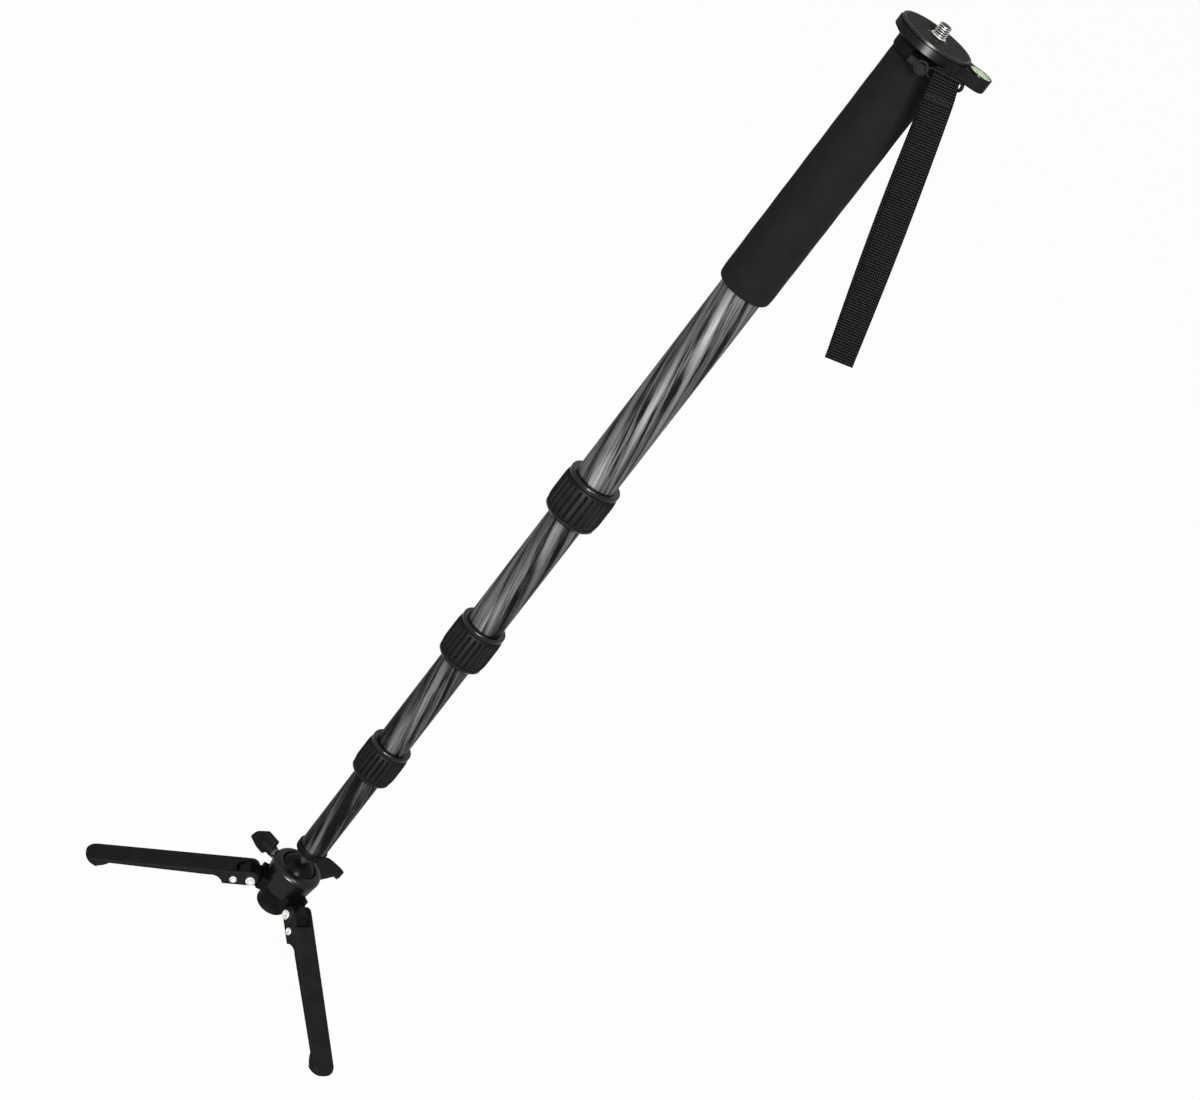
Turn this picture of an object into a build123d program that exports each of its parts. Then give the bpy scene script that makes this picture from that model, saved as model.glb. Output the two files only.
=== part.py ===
from build123d import *
import math
import os

os.makedirs("parts", exist_ok=True)

# Camera monopod on a base with three folding legs, in millimetres and degrees.
# +Z runs up the pole, the level tab of the camera platform points along +X, and the wrist strap
# hangs on the -Y side. The origin is on the pole's axis, on the floor.

# Clearances that all pieces share
bond_gap = 0.05
run_gap = 0.1
seat_gap = 0.3
cut_over = 3.0

# Pole sections, from the grip down
tube_radii = [16.0, 14.0, 12.5, 11.0]
tube_wall = 1.0
bare_lengths = [178.0, 109.3, 91.8, 87.4]
inner_tube_lengths = [400.0, 400.0, 372.0]
bush_height = 30.0

# Twist locks, from the grip down
lock_radii = [21.3, 18.8, 17.1]
lock_heights = [36.0, 36.0, 33.0]
tube_end_in_lock = 12.0
lock_ring_height = 3.6
lock_ring_step = 0.8
lock_ring_fillet = 1.2
lock_gap = 0.5
ferrule_wall = 1.75
ferrule_reach = 3.0
nut_wall = 1.2
nut_lip_height = 3.4
nut_lip_step = 0.9
nut_lip_taper = 1.7
nut_floor = 2.0
nut_cone = 2.6
nut_cone_step = 1.4
nut_bore_gap = 0.4
collet_side_gap = 0.3
collet_slit = 1.6
sleeve_barrel = 0.8
sleeve_end_height = 6.0
rib_count = 24
rib_groove_radius = 1.5
rib_groove_depth = 0.5
rib_end_margin = 3.0

# Legs
leg_count = 3
leg_azimuth = 201.4
leg_decline = 25.0
leg_length = 126.2
leg_width = 19.1
leg_wall = 2.0
deck_thickness = 2.0
pivot_circle = 28.1
deck_over_pivot = 6.5
deck_cut_back = 11.6
deck_edge_fillet = 0.7
tip_corner = 8.0
tip_thickness = 3.6
foot_depth = 8.0
foot_ramp = 9.0
foot_bulge = 0.9
foot_solid = 20.0
sole_thickness = 1.5
sole_inset = 0.6
wall_depth_tip = 2.8
wall_depth_hinge = 5.0
ear_depth = 12.4
ear_length = 21.4
ear_ramp = 10.6
ear_hollow = 2.0
pivot_pin_radius = 2.5
pivot_head_radius = 3.9
pivot_head_height = 2.4
stop_pin_radius = 1.75
stop_head_radius = 3.0
stop_head_height = 2.0
stop_pin_reach = 13.2
screw_socket_radius = 1.6
screw_socket_depth = 1.3
head_fillet = 0.7

# Ball and its housing
ball_radius = 16.5
ball_above_pivot = 15.4
ball_top_flat = 15.2
ball_base_flat = 11.4
ball_counterbore = 6.2
ball_counterbore_roof = 2.0
socket_gap = 0.2
housing_radius = 20.5
housing_low_radius = 18.0
housing_drop = 13.4
housing_shoulder = 5.0
housing_mouth_radius = 14.5
housing_rim = 10.0
housing_rim_fillet = 4.6
spigot_height = 1.8
spigot_width = 4.0
flange_height = 1.5
flange_step = 0.2
bowl_gap = 0.6
spring_height = 0.8
spring_wire = 0.45
seat_low = 10.6
seat_high = 5.0
seat_width = 3.7

# Hub below the housing
hub_radius = 12.7
hub_low = 14.4
hub_bore = 9.5
base_low = 20.4
foot_cap_plug = 6.0
foot_cap_fillet = 3.6
boss_radius = 21.3
boss_half_width = 9.5
boss_low = 4.5
boss_high = 7.5
boss_fillet = 0.6
lug_side_gap = 0.35
lug_top = 5.0
lug_low = 5.2
lug_flat = 3.6
lug_nose = 9.6
lug_nose_drop = 1.0
lug_end = 10.3
lug_end_drop = 3.4
toe_start = 10.7
toe_length = 14.6
toe_depth = 2.8

# Ball lock knob
knob_azimuth = 162.0
knob_shaft_radius = 3.0
brake_start = 16.8
brake_length = 1.4
knob_collar_radius = 4.3
knob_collar_start = 21.2
knob_collar_length = 2.1
knob_start = 23.6
knob_hub_radius = 4.6
knob_length = 22.2
knob_half_width = 8.8
knob_thickness = 6.0
knob_fillet = 1.2
wing_outline_shares = [
    (0.07, 0.4),
    (0.07, 1.0),
    (0.61, 1.0),
    (0.95, 0.14),
    (1.0, -0.52),
    (0.6, -0.84),
    (0.28, -0.86),
    (0.18, -0.4),
]

# Stem between the ball and the lowest tube
stem_reach = 25.6
stem_radius = 4.0
stem_head_radius = 6.0
stem_head_height = 3.5
stem_in_plug = 14.0
washer_radius = 4.9
washer_height = 1.7
washer_gap = 0.9
washer_count = 3
washer_fillet = 0.5
plug_height = 24.0
plug_flange = 1.0
end_ring_radius = 12.3
end_ring_height = 6.0
end_ring_fillet = 0.8

# Grip, collar and camera platform
grip_radius = 20.5
grip_length = 197.0
grip_fillet_low = 3.2
grip_fillet_high = 1.2
collar_radius = 21.4
collar_height = 8.1
collar_fillet = 1.4
top_plug_height = 28.0
top_plug_flange = 2.0
platform_radius = 28.2
platform_height = 9.6
platform_cone_height = 4.0
platform_edge_fillet = 0.5
tab_root_radius = 20.0
cup_radius = 8.9
cup_wall = 1.1
cup_raise = 0.9
cup_depth = 5.5
tab_fillet = 1.6
disc_neck_radius = 26.0
disc_neck_height = 0.5
disc_radius = 27.3
disc_height = 1.9
disc_fillet = 0.4
tab_gap = 0.3
tab_reach = disc_radius + cup_radius + tab_gap
pad_radius = 25.1
pad_depth = 1.0
pad_proud = 0.1
insert_radius = 7.6
vial_height = 4.4
bezel_width = 0.9
bezel_height = 0.9
lens_rise = 0.3
lens_fillet = 0.5
stud_radius = 4.76
stud_height = 9.9
stud_flange_radius = 5.6
stud_flange_height = 1.2
stud_tip_chamfer = 1.4
stud_shank = 4.0
stud_in_plug = 12.0
grub_radius = 1.5
grub_circle = 21.7
grub_azimuth = 151.0
grub_count = 3
grub_in_plate = 3.0
grub_below_pad = 0.5
grub_socket_radius = 0.8
grub_socket_depth = 1.0

# Wrist strap and its ring
lug_block_left = 7.0
lug_block_right = 8.5
lug_block_front = 28.3
lug_block_low = 1.2
lug_block_high = 0.5
lug_block_fillet = 1.0
lug_screw_x = 4.0
lug_screw_drop = 3.3
lug_screw_radius = 1.8
lug_screw_bite = 2.8
lug_screw_head_radius = 3.3
lug_screw_head_height = 2.6
eyelet_radius = 5.0
eyelet_thickness = 2.5
ring_wire_radius = 1.25
ring_tilt = 11.0
ring_start = 4.4
ring_reach = 29.0
ring_half_height = 3.0
ring_corner = 2.6
strap_lean = 17.0
strap_width = 20.0
strap_layer = 1.3
strap_on_ring_start = 8.8
strap_on_ring = 17.8
strap_flare = 14.0
strap_length = 203.0
strap_roll_gap = 0.15

# Heights worked out from the floor up
decline = math.radians(leg_decline)
pivot_z = leg_length * math.sin(decline) - (deck_over_pivot - tip_thickness) * math.cos(decline)
ball_z = pivot_z + ball_above_pivot
end_ring_z = ball_z + stem_reach
lock_low = [0, 0, 0]
station = end_ring_z
for k in (2, 1, 0):
    lock_low[k] = station + bare_lengths[k + 1]
    station = lock_low[k] + lock_heights[k]
grip_z = station + bare_lengths[0]
collar_z = grip_z + grip_length
platform_z = collar_z + collar_height
disc_z = platform_z + platform_height
top_z = disc_z + disc_neck_height + disc_height
pad_top_z = top_z + pad_proud


def ring(radius, low, high, bore=0, mode=Mode.ADD):
    """A round bar on the pole's axis between two heights, or a ring where it has a bore."""
    with BuildSketch(Plane.XY.offset(low)) as section:
        Circle(radius)
        if bore:
            Circle(bore, mode=Mode.SUBTRACT)
    extrude(section.sketch, amount=high - low, mode=mode)


def turned(points, mode=Mode.ADD):
    """A body turned about the pole's axis from an outline of radius and height."""
    with BuildSketch(Plane.XZ) as section:
        with BuildLine():
            Polyline(*points, close=True)
        make_face()
    revolve(section.sketch, axis=Axis.Z, mode=mode)


def bar(plane, start, length, radius, at=(0, 0), mode=Mode.ADD):
    """A round bar along a plane's normal."""
    with BuildSketch(plane.offset(start)) as section:
        with Locations(at):
            Circle(radius)
    extrude(section.sketch, amount=length, mode=mode)


def slab(plane, points, thickness, mode=Mode.ADD):
    """A plate of one outline, centred on its plane."""
    with BuildSketch(plane) as section:
        with BuildLine():
            Polyline(*points, close=True)
        make_face()
    extrude(section.sketch, amount=thickness / 2, both=True, mode=mode)


def circles_at(part, radius, height):
    """The circular edges of one radius at one height."""
    return [
        e
        for e in part.edges().filter_by(GeomType.CIRCLE)
        if abs(e.radius - radius) < bond_gap and abs(e.arc_center.Z - height) < bond_gap
    ]


def side_plane(azimuth_deg, radius, height, tilt=0):
    """Side view at a place round the axis: x points outward and down by the tilt, y up."""
    azimuth = math.radians(azimuth_deg)
    out = Vector(math.cos(azimuth), math.sin(azimuth), 0)
    up = Vector(0, 0, 1)
    return Plane(
        origin=out * radius + up * height,
        x_dir=out * math.cos(tilt) - up * math.sin(tilt),
        z_dir=out.cross(up),
    )


def leg_plane(index):
    return side_plane(leg_azimuth + 360 / leg_count * index, pivot_circle, pivot_z, decline)


# Ball housing
housing_low = ball_z - housing_drop
socket_radius = ball_radius + socket_gap
mouth_z = ball_z + math.sqrt(socket_radius**2 - housing_mouth_radius**2)
mouth_angle = math.acos(housing_mouth_radius / socket_radius) / 2
rim_z = ball_z + housing_rim
knob_axis = Plane(
    origin=(0, 0, ball_z), x_dir=(0, 0, 1), z_dir=side_plane(knob_azimuth, 0, ball_z).x_dir
)
with BuildPart() as ball_housing:
    with BuildSketch(Plane.XZ):
        with BuildLine():
            Polyline(
                (socket_radius, ball_z),
                (socket_radius, housing_low),
                (housing_low_radius, housing_low),
                (housing_radius, ball_z + housing_shoulder),
                (housing_radius, rim_z),
                (housing_mouth_radius, rim_z),
                (housing_mouth_radius, mouth_z),
            )
            ThreePointArc(
                (housing_mouth_radius, mouth_z),
                (
                    socket_radius * math.cos(mouth_angle),
                    ball_z + socket_radius * math.sin(mouth_angle),
                ),
                (socket_radius, ball_z),
            )
        make_face()
    revolve(axis=Axis.Z)
    fillet(circles_at(ball_housing.part, housing_radius, rim_z), radius=housing_rim_fillet)
    bar(knob_axis, 0, housing_radius + cut_over, knob_shaft_radius + run_gap, mode=Mode.SUBTRACT)
ball_housing.part.label = "ball_housing"
export_step(ball_housing.part, "parts/ball_housing.step")

# Hub with the bosses, the tongues between the legs' ears and the stop toes
flange_z = housing_low - flange_height
spigot_z = housing_low + spigot_height
spigot_radius = socket_radius - bond_gap
hub_z = pivot_z - hub_low
lug_width = leg_width - leg_wall - leg_wall - lug_side_gap - lug_side_gap
housing_slope = (housing_radius - housing_low_radius) / (housing_drop + housing_shoulder)
boss_top = pivot_z + boss_high
with BuildPart() as leg_hub:
    ring(hub_radius, hub_z, housing_low)
    ring(housing_low_radius - flange_step, flange_z, housing_low)
    for i in range(leg_count):
        view = side_plane(leg_azimuth + 360 / leg_count * i, pivot_circle, pivot_z)
        slab(
            view,
            [
                (-pivot_circle, -boss_low),
                (boss_radius - pivot_circle, -boss_low),
                (boss_radius - pivot_circle, boss_high),
                (-pivot_circle, boss_high),
            ],
            boss_half_width + boss_half_width,
        )
        slab(
            view,
            [
                (-hub_radius, lug_top),
                (lug_flat, lug_top),
                (lug_nose, -lug_nose_drop),
                (lug_end, -lug_end_drop),
                (toe_start * math.cos(decline), -toe_start * math.sin(decline)),
                (0, -lug_low),
                (-hub_radius, -boss_low),
            ],
            lug_width,
        )
        toe_face = -stop_pin_radius - seat_gap
        slab(
            leg_plane(i),
            [
                (toe_start, toe_face + toe_depth),
                (toe_start, toe_face),
                (toe_length, toe_face),
                (toe_length, toe_face - toe_depth),
                (lug_flat, toe_face - toe_depth),
                (0, 0),
            ],
            lug_width,
        )
    turned(
        [
            (0, housing_low),
            (housing_low_radius + bond_gap, housing_low),
            (
                housing_low_radius + bond_gap + housing_slope * (boss_top - housing_low),
                boss_top,
            ),
            (0, boss_top),
        ],
        mode=Mode.SUBTRACT,
    )
    ring(spigot_radius, housing_low, spigot_z)
    with Locations((0, 0, ball_z)):
        Sphere(ball_radius + bowl_gap, mode=Mode.SUBTRACT)
    ring(hub_bore, hub_z, hub_z + foot_cap_plug + seat_gap, mode=Mode.SUBTRACT)
    for i in range(leg_count):
        bar(
            leg_plane(i),
            -leg_width,
            leg_width + leg_width,
            pivot_pin_radius + run_gap,
            mode=Mode.SUBTRACT,
        )
leg_hub.part.label = "leg_hub"
export_step(leg_hub.part, "parts/leg_hub.step")

# Rubber cap at the lower end of the hub
base_z = pivot_z - base_low
with BuildPart() as foot_cap:
    ring(hub_radius, base_z, hub_z - bond_gap)
    fillet(circles_at(foot_cap.part, hub_radius, base_z), radius=foot_cap_fillet)
    ring(hub_bore - bond_gap, base_z + foot_cap_fillet, hub_z + foot_cap_plug)
foot_cap.part.label = "foot_cap"
export_step(foot_cap.part, "parts/foot_cap.step")

# Seat of the ball and its spring
seat_radius = socket_radius - run_gap
seat_sphere = ball_radius + run_gap
seat_z = ball_z - seat_low
with BuildPart() as seat_spring:
    spring_z = spigot_z + bond_gap
    turned(
        [
            (seat_radius - seat_width, spring_z + spring_height - spring_wire),
            (seat_radius - bond_gap, spring_z),
            (seat_radius - bond_gap, spring_z + spring_wire),
            (seat_radius - seat_width, spring_z + spring_height),
        ]
    )
seat_spring.part.label = "seat_spring"
export_step(seat_spring.part, "parts/seat_spring.step")

with BuildPart() as ball_seat:
    ring(seat_radius, seat_z, ball_z - seat_high, seat_radius - seat_width)
    with Locations((0, 0, ball_z)):
        Sphere(seat_sphere, mode=Mode.SUBTRACT)
ball_seat.part.label = "ball_seat"
export_step(ball_seat.part, "parts/ball_seat.step")

# Ball
with BuildPart() as ball:
    with Locations((0, 0, ball_z)):
        Sphere(ball_radius)
    ring(
        ball_radius + cut_over,
        ball_z + ball_top_flat,
        ball_z + ball_radius + cut_over,
        mode=Mode.SUBTRACT,
    )
    ring(
        ball_radius + cut_over,
        ball_z - ball_radius - cut_over,
        ball_z - ball_base_flat,
        mode=Mode.SUBTRACT,
    )
    ring(
        ball_counterbore,
        ball_z - ball_base_flat - cut_over,
        ball_z - ball_counterbore_roof,
        mode=Mode.SUBTRACT,
    )
    ring(stem_radius + run_gap, ball_z - ball_radius, ball_z + ball_radius, mode=Mode.SUBTRACT)
ball.part.label = "ball"
export_step(ball.part, "parts/ball.step")

# Stem that turns in the ball, with its washers
stem_head_z = ball_z - ball_counterbore_roof - run_gap
with BuildPart() as ball_stem:
    ring(stem_head_radius, stem_head_z - stem_head_height, stem_head_z)
    ring(stem_radius, stem_head_z, end_ring_z + stem_in_plug)
ball_stem.part.label = "ball_stem"
export_step(ball_stem.part, "parts/ball_stem.step")

with BuildPart() as stem_washers:
    washer_pitch = washer_height + washer_gap
    stack_z = end_ring_z - bond_gap - washer_pitch * washer_count + washer_gap
    ring(
        stem_radius + washer_gap - run_gap,
        stack_z,
        end_ring_z - bond_gap,
        stem_radius + bond_gap,
    )
    for i in range(washer_count):
        washer_z = stack_z + washer_pitch * i
        ring(washer_radius, washer_z, washer_z + washer_height, stem_radius + bond_gap)
stem_washers.part.label = "stem_washers"
export_step(stem_washers.part, "parts/stem_washers.step")

# Lock of the ball: brake shoe, shaft, collar and winged knob
with BuildPart() as brake_shoe:
    bar(knob_axis, brake_start, brake_length, knob_shaft_radius)
brake_shoe.part.label = "brake_shoe"
export_step(brake_shoe.part, "parts/brake_shoe.step")

shaft_start = brake_start + brake_length + bond_gap
knob_bore_end = knob_start + knob_length / 2
with BuildPart() as knob_shaft:
    bar(knob_axis, shaft_start, knob_bore_end - shaft_start, knob_shaft_radius)
knob_shaft.part.label = "knob_shaft"
export_step(knob_shaft.part, "parts/knob_shaft.step")

with BuildPart() as knob_collar:
    bar(knob_axis, knob_collar_start, knob_collar_length, knob_collar_radius)
    bar(
        knob_axis,
        knob_collar_start,
        knob_collar_length,
        knob_shaft_radius + bond_gap,
        mode=Mode.SUBTRACT,
    )
knob_collar.part.label = "knob_collar"
export_step(knob_collar.part, "parts/knob_collar.step")

with BuildPart() as lock_knob:
    slab(
        side_plane(knob_azimuth, knob_start, ball_z),
        [(x * knob_length, y * knob_half_width) for x, y in wing_outline_shares],
        knob_thickness,
    )
    fillet(lock_knob.edges(), radius=knob_fillet)
    bar(knob_axis, knob_start, knob_length / 2, knob_hub_radius)
    bar(
        knob_axis,
        knob_start - cut_over,
        knob_length / 2 + cut_over + bond_gap,
        knob_shaft_radius + bond_gap,
        mode=Mode.SUBTRACT,
    )
lock_knob.part.label = "lock_knob"
export_step(lock_knob.part, "parts/lock_knob.step")

# Legs, each with its rubber sole, its pivot screw and its stop pin
floor_slope = math.tan(decline)
floor_drop = pivot_z / math.cos(decline)
sole_rise = sole_thickness / math.cos(decline)
foot_y = deck_over_pivot - foot_depth
foot_x = (foot_y + floor_drop) / floor_slope
foot_start = foot_x - foot_ramp
ear_radius = ear_depth / 2
ear_y = deck_over_pivot - ear_radius
ear_low = deck_over_pivot - ear_depth
channel = leg_width - leg_wall - leg_wall


def tip_edges(part, plane):
    """The two corner edges at a foot's tip."""
    return [
        e
        for e in part.edges()
        if abs(plane.to_local_coords(e.center()).X - leg_length) < bond_gap
        and abs(abs(plane.to_local_coords(e.center()).Z) - leg_width / 2) < bond_gap
    ]


def cross_screw(plane, x, radius, head_radius, head_height):
    """A screw across a leg, with a socket in the head at each end."""
    half = leg_width / 2
    bar(plane, -half, leg_width, radius, (x, 0))
    bar(plane, half, head_height, head_radius, (x, 0))
    bar(plane, -half - head_height, head_height, head_radius, (x, 0))


def head_edges(part, plane, head_height):
    """The outer edges of a cross screw's two heads."""
    reach = leg_width / 2 + head_height
    return [
        e
        for e in part.edges().filter_by(GeomType.CIRCLE)
        if abs(abs(plane.to_local_coords(e.arc_center).Z) - reach) < bond_gap
    ]


def socket_cuts(plane, x, head_height):
    half = leg_width / 2 + head_height
    for start in (half - screw_socket_depth, -half - cut_over):
        depth = screw_socket_depth + cut_over
        with BuildSketch(plane.offset(start)) as section:
            with Locations((x, 0)):
                RegularPolygon(screw_socket_radius, 6)
        extrude(section.sketch, amount=depth, mode=Mode.SUBTRACT)


for i in range(leg_count):
    side = leg_plane(i)
    with BuildPart() as leg:
        with BuildSketch(side) as leg_side:
            with BuildLine():
                ThreePointArc((0, deck_over_pivot), (-ear_radius, ear_y), (0, ear_low))
                Line((0, ear_low), (ear_length, ear_low))
                ThreePointArc(
                    (ear_length, ear_low),
                    (
                        ear_length + ear_ramp / 2 - ear_hollow,
                        (ear_low + deck_over_pivot - wall_depth_hinge) / 2 + ear_hollow,
                    ),
                    (ear_length + ear_ramp, deck_over_pivot - wall_depth_hinge),
                )
                Line(
                    (ear_length + ear_ramp, deck_over_pivot - wall_depth_hinge),
                    (foot_start, deck_over_pivot - wall_depth_tip),
                )
                ThreePointArc(
                    (foot_start, deck_over_pivot - wall_depth_tip),
                    (foot_start + foot_ramp / 2, foot_y + sole_rise + foot_bulge),
                    (foot_x, foot_y + sole_rise),
                )
                Polyline(
                    (foot_x, foot_y + sole_rise),
                    (leg_length, leg_length * floor_slope - floor_drop + sole_rise),
                    (leg_length, deck_over_pivot),
                    (0, deck_over_pivot),
                )
            make_face()
        extrude(amount=leg_width / 2, both=True)
        fillet(tip_edges(leg.part, side), radius=tip_corner)
        deck_edges = [
            e
            for e in leg.edges()
            if abs(side.to_local_coords(e.center()).Y - deck_over_pivot) < bond_gap
            and side.to_local_coords(e.center()).X > deck_cut_back
        ]
        fillet(deck_edges, radius=deck_edge_fillet)
        slab(
            side,
            [
                (-pivot_circle, -pivot_circle),
                (-pivot_circle, pivot_circle),
                (deck_cut_back, pivot_circle),
                (deck_cut_back, deck_over_pivot - deck_thickness),
                (leg_length - foot_solid, deck_over_pivot - deck_thickness),
                (leg_length - foot_solid, -pivot_circle),
            ],
            channel,
            mode=Mode.SUBTRACT,
        )
        bar(side, -leg_width, leg_width + leg_width, pivot_pin_radius + bond_gap, mode=Mode.SUBTRACT)
        bar(
            side,
            -leg_width,
            leg_width + leg_width,
            stop_pin_radius + bond_gap,
            (stop_pin_reach, 0),
            mode=Mode.SUBTRACT,
        )
    leg.part.label = f"leg_{i + 1}"
    export_step(leg.part, f"parts/leg_{i + 1}.step")

    with BuildPart() as leg_pad:
        sole_top = sole_rise - bond_gap
        slab(
            side,
            [
                (foot_x, foot_y),
                (leg_length - sole_inset, (leg_length - sole_inset) * floor_slope - floor_drop),
                (
                    leg_length - sole_inset,
                    (leg_length - sole_inset) * floor_slope - floor_drop + sole_top,
                ),
                (foot_x, foot_y + sole_top),
            ],
            leg_width - sole_inset - sole_inset,
        )
        with BuildSketch(Plane(origin=side.origin, x_dir=side.x_dir, z_dir=side.y_dir)) as sole:
            with Locations((leg_length / 2, 0)):
                Rectangle(leg_length - sole_inset - sole_inset, leg_width - sole_inset - sole_inset)
            fillet(sole.vertices().group_by(Axis.X)[-1], radius=tip_corner - sole_inset)
        extrude(sole.sketch, amount=leg_length, both=True, mode=Mode.INTERSECT)
    leg_pad.part.label = f"leg_pad_{i + 1}"
    export_step(leg_pad.part, f"parts/leg_pad_{i + 1}.step")

    with BuildPart() as leg_pivot:
        cross_screw(side, 0, pivot_pin_radius, pivot_head_radius, pivot_head_height)
        fillet(head_edges(leg_pivot.part, side, pivot_head_height), radius=head_fillet)
        socket_cuts(side, 0, pivot_head_height)
    leg_pivot.part.label = f"leg_pivot_{i + 1}"
    export_step(leg_pivot.part, f"parts/leg_pivot_{i + 1}.step")

    with BuildPart() as leg_pin:
        cross_screw(side, stop_pin_reach, stop_pin_radius, stop_head_radius, stop_head_height)
        fillet(head_edges(leg_pin.part, side, stop_head_height), radius=head_fillet)
        socket_cuts(side, stop_pin_reach, stop_head_height)
    leg_pin.part.label = f"leg_pin_{i + 1}"
    export_step(leg_pin.part, f"parts/leg_pin_{i + 1}.step")

# Plug and ring that close the lowest tube
low_tube_z = end_ring_z + plug_flange
with BuildPart() as tube_plug:
    ring(tube_radii[3], end_ring_z, low_tube_z - bond_gap)
    ring(tube_radii[3] - tube_wall - bond_gap, low_tube_z - bond_gap, end_ring_z + plug_height)
    ring(
        stem_radius + bond_gap, end_ring_z, end_ring_z + stem_in_plug + bond_gap, mode=Mode.SUBTRACT
    )
tube_plug.part.label = "tube_plug"
export_step(tube_plug.part, "parts/tube_plug.step")

with BuildPart() as tube_end_collar:
    ring(end_ring_radius, end_ring_z, end_ring_z + end_ring_height)
    fillet(
        tube_end_collar.edges().filter_by(GeomType.CIRCLE),
        radius=end_ring_fillet,
    )
    ring(
        tube_radii[3] + bond_gap,
        end_ring_z,
        end_ring_z + end_ring_height,
        mode=Mode.SUBTRACT,
    )
tube_end_collar.part.label = "tube_end_collar"
export_step(tube_end_collar.part, "parts/tube_end_collar.step")

# Tubes: the top one ends under the platform, and the lower ones run up inside it
tube_low = [lock_low[0] + tube_end_in_lock, lock_low[1] + tube_end_in_lock]
tube_low += [lock_low[2] + tube_end_in_lock, low_tube_z]
tube_high = [platform_z - top_plug_flange]
tube_high += [tube_low[k] + inner_tube_lengths[k - 1] for k in (1, 2, 3)]
for k in range(len(tube_radii)):
    with BuildPart() as tube:
        ring(tube_radii[k], tube_low[k], tube_high[k], tube_radii[k] - tube_wall)
    tube.part.label = f"tube_{k + 1}"
    export_step(tube.part, f"parts/tube_{k + 1}.step")

# Guide bushes on the tops of the inner tubes
for k in (1, 2, 3):
    with BuildPart() as guide_bush:
        ring(
            tube_radii[k - 1] - tube_wall - run_gap,
            tube_high[k] - bush_height,
            tube_high[k],
            tube_radii[k] + bond_gap,
        )
    guide_bush.part.label = f"guide_bush_{k + 1}"
    export_step(guide_bush.part, f"parts/guide_bush_{k + 1}.step")

# Twist locks
for k in range(len(lock_radii)):
    low = lock_low[k]
    high = low + lock_heights[k]
    outer = lock_radii[k]
    bore = tube_radii[k] + bond_gap
    neck = tube_radii[k] + ferrule_wall
    ferrule_z = low + tube_end_in_lock - ferrule_reach
    ring_z = high - lock_ring_height
    ring_radius = outer - lock_ring_step
    with BuildPart() as ferrule:
        ring(ring_radius, ring_z, high)
        fillet(circles_at(ferrule.part, ring_radius, high), radius=lock_ring_fillet)
        ring(neck, ferrule_z, ring_z)
        ring(bore, ferrule_z, high, mode=Mode.SUBTRACT)
    ferrule.part.label = f"ferrule_{k + 1}"
    export_step(ferrule.part, f"parts/ferrule_{k + 1}.step")

    nut_inner = neck + run_gap
    nut_outer = nut_inner + nut_wall
    nut_top = ring_z - lock_gap
    lip_radius = outer - nut_lip_step
    lower_tube = tube_radii[k + 1]
    with BuildPart() as twist_nut:
        turned(
            [
                (lower_tube + nut_bore_gap, low),
                (lip_radius - nut_lip_taper, low),
                (lip_radius, low + nut_lip_taper),
                (lip_radius, low + nut_lip_height),
                (nut_outer, low + nut_lip_height),
                (nut_outer, nut_top),
                (nut_inner, nut_top),
                (nut_inner, low + nut_floor + nut_cone),
                (nut_inner - nut_cone_step, low + nut_floor),
                (lower_tube + nut_bore_gap, low + nut_floor),
            ]
        )
    twist_nut.part.label = f"twist_nut_{k + 1}"
    export_step(twist_nut.part, f"parts/twist_nut_{k + 1}.step")

    collet_outer = nut_inner - collet_side_gap
    collet_low = low + nut_floor + seat_gap
    with BuildPart() as collet:
        turned(
            [
                (lower_tube + run_gap, collet_low),
                (collet_outer - nut_cone_step, collet_low),
                (collet_outer, collet_low + nut_cone),
                (collet_outer, ferrule_z - run_gap),
                (lower_tube + run_gap, ferrule_z - run_gap),
            ]
        )
        slab(
            Plane.XZ.offset(outer / 2),
            [
                (-collet_slit / 2, low),
                (collet_slit / 2, low),
                (collet_slit / 2, high),
                (-collet_slit / 2, high),
            ],
            outer,
            mode=Mode.SUBTRACT,
        )
    collet.part.label = f"collet_{k + 1}"
    export_step(collet.part, f"parts/collet_{k + 1}.step")

    sleeve_z = low + nut_lip_height + bond_gap
    sleeve_top = nut_top - bond_gap
    sleeve_bore = nut_outer + bond_gap
    with BuildPart() as grip_sleeve:
        turned(
            [
                (sleeve_bore, sleeve_z),
                (outer - sleeve_barrel, sleeve_z),
                (outer, sleeve_z + sleeve_end_height),
                (outer, sleeve_top - sleeve_end_height),
                (outer - sleeve_barrel, sleeve_top),
                (sleeve_bore, sleeve_top),
            ]
        )
        with BuildSketch(Plane.XY.offset(sleeve_z + rib_end_margin)) as grooves:
            with PolarLocations(outer + rib_groove_radius - rib_groove_depth, rib_count):
                Circle(rib_groove_radius)
        extrude(
            grooves.sketch,
            amount=sleeve_top - sleeve_z - rib_end_margin - rib_end_margin,
            mode=Mode.SUBTRACT,
        )
    grip_sleeve.part.label = f"grip_sleeve_{k + 1}"
    export_step(grip_sleeve.part, f"parts/grip_sleeve_{k + 1}.step")

# Foam grip
grip_bore = tube_radii[0] + bond_gap
with BuildPart() as foam_grip:
    ring(grip_radius, grip_z, collar_z - bond_gap)
    fillet(circles_at(foam_grip.part, grip_radius, grip_z), radius=grip_fillet_low)
    fillet(
        circles_at(foam_grip.part, grip_radius, collar_z - bond_gap),
        radius=grip_fillet_high,
    )
    ring(grip_bore, grip_z, collar_z, mode=Mode.SUBTRACT)
foam_grip.part.label = "foam_grip"
export_step(foam_grip.part, "parts/foam_grip.step")

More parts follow.
